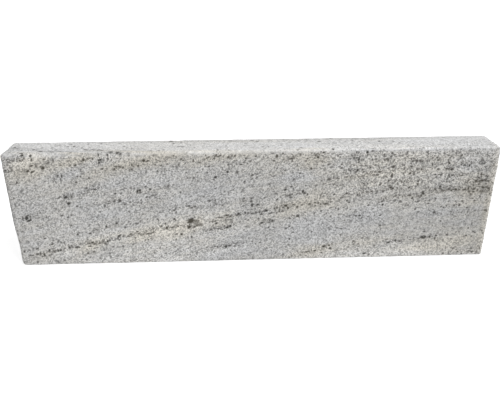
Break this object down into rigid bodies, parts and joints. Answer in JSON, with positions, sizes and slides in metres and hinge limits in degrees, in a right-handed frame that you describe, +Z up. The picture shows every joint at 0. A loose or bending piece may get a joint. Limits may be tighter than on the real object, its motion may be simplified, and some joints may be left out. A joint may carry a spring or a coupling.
{
  "type": "granite kerb stone",
  "caption": "Straight kerb stone of pale banded granite, sawn to a rectangular section, with eased edges and one worn corner, standing on its narrow foot.",
  "frame": {"origin": "centre of the foot, the narrow lower face that the stone stands on", "axes": "+X along the kerb towards the right end, -Y out of the front, +Z up from the foot to the head"},
  "size_m": [1, 0.08, 0.25],
  "materials": {
    "granite": "matte"
  },
  "bodies": {
    "root": {"kerb_stone": "granite"}
  },
  "joints": []
}
